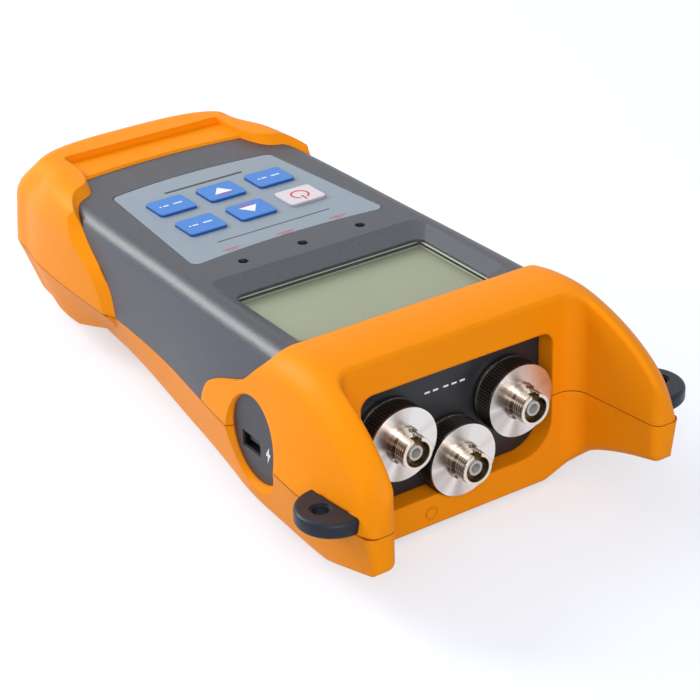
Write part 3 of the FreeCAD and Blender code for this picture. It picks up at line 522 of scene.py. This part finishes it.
panel_spot = Vector((0, high("connector_panel").y, high("adapter_cap_2").z + PANEL_DASH_RISE))
ink("panel_dashes", PANEL_DASHES, panel_spot, LEFT, UP, white_ink, "casing")
socket_low, socket_high = low("usb_socket"), high("usb_socket")
bolt_spot = Vector((high("usb_plate").x, socket_high.y + BOLT_GAP,
                    (socket_low.z + socket_high.z) / 2))
ink("socket_bolt", [BOLT], bolt_spot, AHEAD, UP, white_ink, "casing")
print("marks on the panel at", [round(v / MM, 1) for v in panel_spot])

# %% [markdown]
# ## Display
#
# A resting liquid crystal display isn't black: light that enters the front comes back from
# the reflector behind it with the pale grey-green of the polariser. The glass over it is made
# with a low alpha instead of real refraction, because a refracting sheet would keep the
# lamps' light from the cell under it.
#
# A film of polariser is never quite even, so a slow cloud shifts its tint a little. The glass
# has a narrow black border, and just inside that border a pale line is painted as a highlight
# on its bevel. Both are masks on the distance from the nearest edge.

# %% Display cell
def cell_finish():
    finish = Finish("display_cell", Specular_IOR_Level=0.3)
    cloud = finish.noise(26 * MM, detail=1.0)
    dots = finish.noise(0.25 * MM)
    tint = finish.blend(cloud * 0.8 + dots * 0.03, srgb(158, 164, 134), srgb(168, 173, 146))
    finish.feed("Base Color", tint)
    finish.feed("Roughness", 0.28 + cloud * 0.08)
    return finish


wear(cell_finish(), "lcd_panel")
print("display cell in mm", [round(v / MM, 1) for v in high("lcd_panel") - low("lcd_panel")])

# %% Window with its black border and a painted highlight on the bevel
BORDER = 1.6 * MM
BEVEL_HIGHLIGHT_WIDTH = 0.6 * MM
PRINT_FADE = 0.1 * MM


def window_finish():
    """Clear glass with a black border, and a painted highlight on the bevel just inside the
    border.
    """
    finish = Finish("display_window", Specular_IOR_Level=0.5)
    smear = finish.noise(14 * MM)
    centre, half = middle("lcd_window"), (high("lcd_window") - low("lcd_window")) / 2
    from_side = half.x - abs(finish.axis("X") - centre.x)
    from_end = half.y - abs(finish.axis("Y") - centre.y)
    from_edge = from_side.math("MINIMUM", from_side, from_end)
    border = from_edge.below(BORDER, PRINT_FADE)
    # painted highlight: a pale line on the bevel, just inside the black border
    bevel_highlight = from_edge.below(BORDER + BEVEL_HIGHLIGHT_WIDTH, PRINT_FADE) - border
    glass = finish.blend(smear, srgb(190, 196, 176), srgb(202, 207, 190))
    highlit_glass = finish.blend(bevel_highlight, glass, srgb(226, 230, 212))
    finish.feed("Base Color", finish.blend(border, highlit_glass, srgb(12, 14, 12)))
    finish.feed("Alpha", 0.10 + bevel_highlight * 0.75 + border * 0.9)
    finish.feed("Roughness", 0.05 + smear * 0.06)
    return finish


wear(window_finish(), "lcd_window")
print("border in mm", BORDER / MM)

# %% [markdown]
# ## Black plastics
#
# Five finishes are black, and none is the same black: the display's frame, the panel and the
# socket's plate are finely grained, the strap lugs are smoother and a little blue, and the
# lenses over the indicator lights are smoked and glossy. One function makes all five from the
# colour, the grain's size and depth, and the gloss.

# %% Frame, panel, plate, lugs and lenses
def black_finish(name, colour, grain_size, roughness, grain_depth, shine=0.5):
    finish = Finish(name, Specular_IOR_Level=shine)
    grain = finish.noise(grain_size)
    cloud = finish.noise(12 * MM)
    finish.feed("Base Color",
                finish.blend(grain * 0.35 + cloud * 0.2, colour, scaled(colour, 1.5)))
    finish.feed("Roughness", grain * 0.14 + (roughness - 0.07))
    finish.raise_surface(grain, grain_depth, rounding=0.25 * MM)
    return finish


wear(black_finish("frame_black", srgb(24, 26, 24), 0.4 * MM, 0.5, 0.01 * MM), "lcd_frame")
wear(black_finish("panel_black", srgb(30, 32, 36), 0.3 * MM, 0.42, 0.015 * MM),
     "connector_panel", "usb_tongue")
wear(black_finish("plate_black", srgb(46, 48, 54), 0.3 * MM, 0.42, 0.015 * MM), "usb_plate")
wear(black_finish("lug_black", srgb(22, 27, 38), 2.0 * MM, 0.42, 0.004 * MM, 0.3),
     "strap_lug_left", "strap_lug_right")
wear(black_finish("smoked_lens", srgb(14, 14, 18), 0.5 * MM, 0.2, 0.002 * MM),
     "indicator_1", "indicator_2", "indicator_3")
print("nodes with a finish so far:",
      sum(any(m.name in given for m in piece.data.materials) for piece in nodes.values()))

# %% [markdown]
# ## Nickel caps and barrels
#
# The caps are turned from brass and nickel plated. Four things make turned nickel look real:
# fine rings from the tool on the flat front, soft cones of brighter and browner metal round
# the axis, painted as the reflections such a face shows, a warm tint, and painted shade in the
# grooves of the knurl, which keeps them dark although the crests are bright. The outer band of
# the knurl is painted darker too, as a painted reflection of darker surroundings. The barrels
# are polished, and long bands of painted reflection lie on them.
#
# Rings, cones and grooves are all measured from the port's own axis: a ring is a noise of the
# distance from the axis, and a cone or a band is a noise of the angle round it. So each port
# gets its own finish, made by one function.

# %% Measuring from a port's axis
SOFT_EDGE, CRISP_EDGE = 0.1 * MM, 0.05 * MM


def port_axis(finish, port):
    """Distance from the port's axis in metres, and the angle round it in radians.

    The angle runs from 0 to pi on both sides, so a noise of it has no jump anywhere."""
    centre = middle(f"adapter_cap_{port}")
    across, upward = finish.axis("X") - centre.x, finish.axis("Z") - centre.z
    distance = (across ** 2.0 + upward ** 2.0) ** 0.5
    return distance, abs(across.math("ARCTAN2", upward, across))


def streaks(finish, value, scale, detail=2.0):
    """Noise from 0 to 1 along one value."""
    return finish.node("ShaderNodeTexNoise", {"noise_dimensions": "1D"},
                       {"W": value, "Scale": scale, "Detail": detail})


print("ports at", [[round(v / MM, 1) for v in middle(f"adapter_cap_{port}")]
                   for port in (1, 2, 3)])

# %% Caps
RING_PITCH = 0.16 * MM
KNURL_CREST, CREST_FADE = 0.12 * MM, 0.22 * MM
KNURL_ROOT = 0.9 * MM
RIM_DEPTH = 1.0 * MM
FRONT_LIP, BACK_LIP = 0.72 * MM, 0.68 * MM


def cap_finish(port):
    cap = f"adapter_cap_{port}"
    radius = half_width(cap)
    finish = Finish(f"nickel_cap_{port}", Metallic=1.0)
    distance, angle = port_axis(finish, port)
    rings = streaks(finish, distance, 1 / RING_PITCH)
    # painted reflection: soft cones of brighter and browner metal round the axis
    reflection_cones = streaks(finish, angle, 1.1, detail=1.0).above(0.58, 0.25)
    # painted shade: a darker band in the grooves of the knurl, away from its front and back
    # lips
    under_crest = distance.below(radius - KNURL_CREST, CREST_FADE)
    groove = under_crest * distance.above(radius - KNURL_ROOT, SOFT_EDGE)
    front = finish.axis("Y").above(high(cap).y - FRONT_LIP, CRISP_EDGE)
    back = finish.axis("Y").below(low(cap).y + BACK_LIP, CRISP_EDGE)
    groove_shade = groove * (1.0 - front) * (1.0 - back)
    metal = finish.blend(reflection_cones * 0.7 + rings * 0.15, srgb(240, 236, 233), srgb(172, 158, 146))
    # painted reflection: the knurl's outer band is darkened, as metal mirroring darker
    # surroundings
    rim_shade = distance.above(radius - RIM_DEPTH, SOFT_EDGE) * (1.0 - front)
    rim_darkened = finish.blend(rim_shade * 0.7, metal, srgb(96, 84, 74))
    finish.feed("Base Color", finish.blend(groove_shade * 0.85, rim_darkened, srgb(38, 32, 28)))
    finish.feed("Roughness", 0.20 + rings * 0.10 + groove_shade * 0.25)
    finish.raise_surface(rings, 0.008 * MM, rounding=0.12 * MM)
    return finish


for port in (1, 2, 3):
    wear(cap_finish(port), f"adapter_cap_{port}")
print("cap radius in mm", round(half_width("adapter_cap_1") / MM, 2))

# %% Barrels
BARREL_LIP = 0.3 * MM
BORE_RADIUS = 3.35 * MM


def barrel_finish(port):
    barrel = f"adapter_barrel_{port}"
    finish = Finish(f"nickel_barrel_{port}", Metallic=1.0)
    distance, angle = port_axis(finish, port)
    # painted reflection: long bright and dark bands round the polished barrel
    reflection_bands = streaks(finish, angle, 2.2).above(0.5, 0.16)
    front = finish.axis("Y").above(high(barrel).y - BARREL_LIP, CRISP_EDGE)
    # painted shade: the bore is painted darker and browner
    bore_shade = distance.below(BORE_RADIUS, SOFT_EDGE)
    bright = finish.blend(reflection_bands * (1.0 - front) * 0.9, srgb(234, 224, 212), srgb(70, 52, 38))
    finish.feed("Base Color", finish.blend(bore_shade * 0.7, bright, srgb(150, 134, 108)))
    finish.feed("Roughness", 0.14 + reflection_bands * 0.12)
    finish.raise_surface(reflection_bands, 0.004 * MM, rounding=0.1 * MM)
    return finish


for port in (1, 2, 3):
    wear(barrel_finish(port), f"adapter_barrel_{port}")
print("barrel radius in mm", round(half_width("adapter_barrel_1") / MM, 2))

# %% [markdown]
# ## The small and the hidden pieces
#
# Ceramic sleeves guide the fibre's ferrule, and they are the one pale, dense, glossy thing
# in each port. Brass stubs, steel screws, green boards and the battery only show when the
# meter comes apart, but they deserve a finish that says what they are.

# %% Ceramic, brass, steel, boards and the battery
def mottled(name, first, second, size, roughness, **constants):
    """A finish whose colour and gloss wander between two values."""
    finish = Finish(name, **constants)
    cloud = finish.noise(size, detail=3.0)
    finish.feed("Base Color", finish.blend(cloud, first, second))
    finish.feed("Roughness", cloud * 0.14 + (roughness - 0.07))
    finish.raise_surface(cloud, 0.01 * MM)
    return finish


def numbered(stem):
    return [f"{stem}_{port}" for port in (1, 2, 3)]


wear(mottled("zirconia", srgb(206, 204, 198), srgb(178, 176, 170), 1.5 * MM, 0.2),
     *numbered("adapter_sleeve"))
wear(mottled("turned_brass", srgb(214, 178, 104), srgb(196, 158, 84), 2 * MM, 0.3,
             Metallic=1.0), *numbered("port_stub"), "battery_contacts")
wear(mottled("module_can", srgb(176, 176, 178), srgb(150, 150, 154), 2 * MM, 0.34,
             Metallic=1.0), *numbered("port_module"))
wear(mottled("zinc_screw", srgb(170, 170, 172), srgb(130, 130, 134), 0.8 * MM, 0.34,
             Metallic=1.0), "board_screws", "case_screws", "battery_door_screw")
wear(mottled("dark_steel", srgb(74, 74, 78), srgb(58, 58, 62), 0.8 * MM, 0.42,
             Metallic=1.0), "usb_socket")
wear(mottled("green_board", srgb(22, 92, 52), srgb(16, 74, 42), 3 * MM, 0.32),
     "main_board", "port_board", "charge_board")
wear(mottled("battery_wrap", srgb(48, 72, 130), srgb(40, 60, 112), 6 * MM, 0.3),
     "battery_pack")
wear(mottled("diffuser", srgb(236, 236, 230), srgb(224, 224, 216), 4 * MM, 0.4),
     "lcd_backlight")
unfinished = [name for name, piece in nodes.items()
              if not any(m.name in given for m in piece.data.materials)]
print("nodes without a finish:", unfinished)

# %% [markdown]
# ## Floor
#
# The floor is a wide pale sheet. Where the camera, a mirror or glass looks at it, part of its
# paleness is light of its own, so it comes out nearly white with lamps that are weak enough
# for the meter's colours. As a surface that only gets light it is darker, which keeps the
# meter's shadow on it.

# %% Floor
FLOOR_HALF = 6.0
FLOOR_SHADES = (0.45, 0.50, 0.60, 1), (0.47, 0.52, 0.62, 1)
FLOOR_GLOW = (0.56, 0.55, 0.54, 1)
BLACK = (0, 0, 0, 1)


def stage_finish():
    finish = Finish("pale_floor", Roughness=0.7, Specular_IOR_Level=0.1,
                    Emission_Strength=1.0)
    dust = finish.noise(40 * MM)
    finish.feed("Base Color", finish.blend(dust * 0.3, *FLOOR_SHADES))
    finish.feed("Emission Color", finish.blend(finish.seen_directly(), BLACK, FLOOR_GLOW))
    return finish


floor_mesh = bpy.data.meshes.new("floor")
corners = [(-FLOOR_HALF, -FLOOR_HALF, 0), (FLOOR_HALF, -FLOOR_HALF, 0),
           (FLOOR_HALF, FLOOR_HALF, 0), (-FLOOR_HALF, FLOOR_HALF, 0)]
floor_mesh.from_pydata(corners, [], [(0, 1, 2, 3)])
floor = bpy.data.objects.new("floor", floor_mesh)
bpy.context.scene.collection.objects.link(floor)
floor.data.materials.append(stage_finish().material)
print("floor", FLOOR_HALF * 2, "m wide")

# %% [markdown]
# ## Light
#
# Three soft boxes light the meter: a large, weak one over it, a narrow, strong one behind it at
# the left for the long highlight on the shoulder, and a wide one in front that opens the
# shadows. Their places are given along the camera's own directions, so they go round with it
# when VIEW_TURN is changed.
#
# The world is white only where the camera, a mirror or glass looks at it, and dimmer as a
# light, so the backdrop is white and colours still render as they are written.

# %% Soft boxes
VIEW_TURN = math.radians(33.38)
VIEW_RISE = math.radians(27.62)
towards_camera = Vector((math.sin(VIEW_TURN) * math.cos(VIEW_RISE),
                         math.cos(VIEW_TURN) * math.cos(VIEW_RISE), math.sin(VIEW_RISE)))
screen_right = (-towards_camera).cross(UP).normalized()
level_back = Vector((-towards_camera.x, -towards_camera.y, 0)).normalized()


def soft_box(name, place, width, height, watts):
    """A rectangular lamp that faces the middle of the floor."""
    lamp = bpy.data.lights.new(name, "AREA")
    lamp.shape = "RECTANGLE"
    lamp.size, lamp.size_y, lamp.energy = width, height, watts
    holder = bpy.data.objects.new(name, lamp)
    holder.location = place
    holder.rotation_euler = (-place).to_track_quat("-Z", "Y").to_euler()
    bpy.context.scene.collection.objects.link(holder)


above = Vector((0, 0, 1.1)) + level_back * 0.25
behind_left = -screen_right * 0.85 + UP * 0.60 + level_back * 0.35
in_front = screen_right * 0.20 + UP * 0.55 - level_back
soft_box("box_above", above, width=0.9, height=0.9, watts=1.2)
soft_box("box_left", behind_left, width=0.45, height=0.7, watts=9.5)
soft_box("box_front", in_front, width=0.8, height=0.8, watts=6.5)

# %% World
BACKDROP = {"Color": (1, 1, 1, 1), "Strength": 1.0}
DAYLIGHT = {"Color": (0.95, 0.97, 1.0, 1), "Strength": 0.38}
world = bpy.data.worlds.new("studio")
bpy.context.scene.world = world
world.use_nodes = True
world.node_tree.nodes.clear()
sky = Wiring(world.node_tree)
backdrop = sky.node("ShaderNodeBackground", inputs=BACKDROP)
daylight = sky.node("ShaderNodeBackground", inputs=DAYLIGHT)
shown = sky.node("ShaderNodeMixShader",
                 inputs={0: sky.seen_directly(), 1: daylight, 2: backdrop})
sky.node("ShaderNodeOutputWorld", inputs={"Surface": shown})
print("daylight at", DAYLIGHT["Strength"], "of the backdrop's strength")

# %% [markdown]
# ## Camera
#
# The camera stands in front of the ports and to the charging socket's side, looks down by
# about 28 degrees and leans by 2 degrees. A camera's own axes are right, up and back, so its
# matrix is those three directions side by side.

# %% Camera
LEAN = math.radians(-1.928)
DISTANCE = 0.51951
TARGET = Vector((5.56, 35.51, 32.0)) * MM
SENSOR_WIDTH = 36.0
FOCAL_LENGTH = 109.02
NEAREST_SEEN = 0.05
plain_up = screen_right.cross(-towards_camera)
right = screen_right * math.cos(LEAN) + plain_up * math.sin(LEAN)
up = plain_up * math.cos(LEAN) - screen_right * math.sin(LEAN)
lens = bpy.data.cameras.new("camera")
lens.sensor_width = SENSOR_WIDTH
lens.lens = FOCAL_LENGTH
lens.clip_start = NEAREST_SEEN
camera = bpy.data.objects.new("camera", lens)
place = TARGET + towards_camera * DISTANCE
turned = Matrix((right, up, towards_camera)).transposed().to_4x4()
camera.matrix_world = Matrix.Translation(place) @ turned
bpy.context.scene.collection.objects.link(camera)
bpy.context.scene.camera = camera
bpy.context.scene.view_settings.view_transform = "Standard"
print("camera at", [round(v, 3) for v in place])

# %% [markdown]
# ## Sizes
#
# The marks and finishes must not make the object any bigger than its solids. The solids' box
# is printed at the start, as the CAD box.
